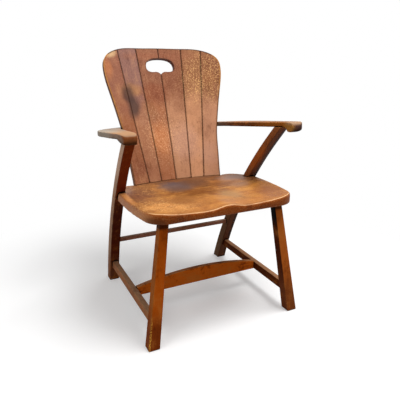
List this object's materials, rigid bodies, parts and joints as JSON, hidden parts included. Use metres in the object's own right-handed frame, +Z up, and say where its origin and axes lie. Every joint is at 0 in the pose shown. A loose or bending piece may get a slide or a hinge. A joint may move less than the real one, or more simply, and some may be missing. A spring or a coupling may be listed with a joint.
{
  "type": "captain's chair",
  "caption": "Solid wood armchair with a scooped seat, a hollow back of fanned staves with a hand-hold, splayed front legs and bent rear posts that run up to the arms.",
  "frame": {"origin": "middle of the bounding box at floor level", "axes": "+Z up, +Y to the back of the chair, +X to the right as one faces the chair from the front"},
  "size_m": [0.6362, 0.6152, 0.9199],
  "materials": {
    "seat_wood": "aged satin varnish over golden-brown hardwood",
    "stave_wood": "aged satin varnish over reddish-brown hardwood",
    "frame_wood": "dark reddish-brown stained hardwood, satin, worn at the arrises",
    "arm_wood": "rubbed pale on top, satin",
    "plug_wood": "end-grain plugs, satin",
    "screw_steel": "plain steel wood screws, hidden"
  },
  "bodies": {
    "root": {"seat_board_1": "seat_wood", "seat_board_2": "seat_wood", "seat_board_3": "seat_wood", "seat_board_4": "seat_wood", "back_stave_1": "stave_wood", "back_stave_2": "stave_wood", "back_stave_3": "stave_wood", "back_stave_4": "stave_wood", "back_stave_5": "stave_wood", "back_stave_6": "stave_wood", "front_leg_left": "frame_wood", "rear_post_left": "frame_wood", "side_stretcher_left": "frame_wood", "arm_left": "arm_wood", "front_leg_right": "frame_wood", "rear_post_right": "frame_wood", "side_stretcher_right": "frame_wood", "arm_right": "arm_wood", "center_stretcher": "frame_wood", "rear_stretcher": "frame_wood", "back_rail": "arm_wood", "rail_screws": "screw_steel", "rail_plugs": "plug_wood", "seat_edge_screws": "screw_steel", "seat_edge_plugs": "plug_wood", "post_screws": "screw_steel", "post_plugs": "plug_wood"}
  },
  "joints": []
}
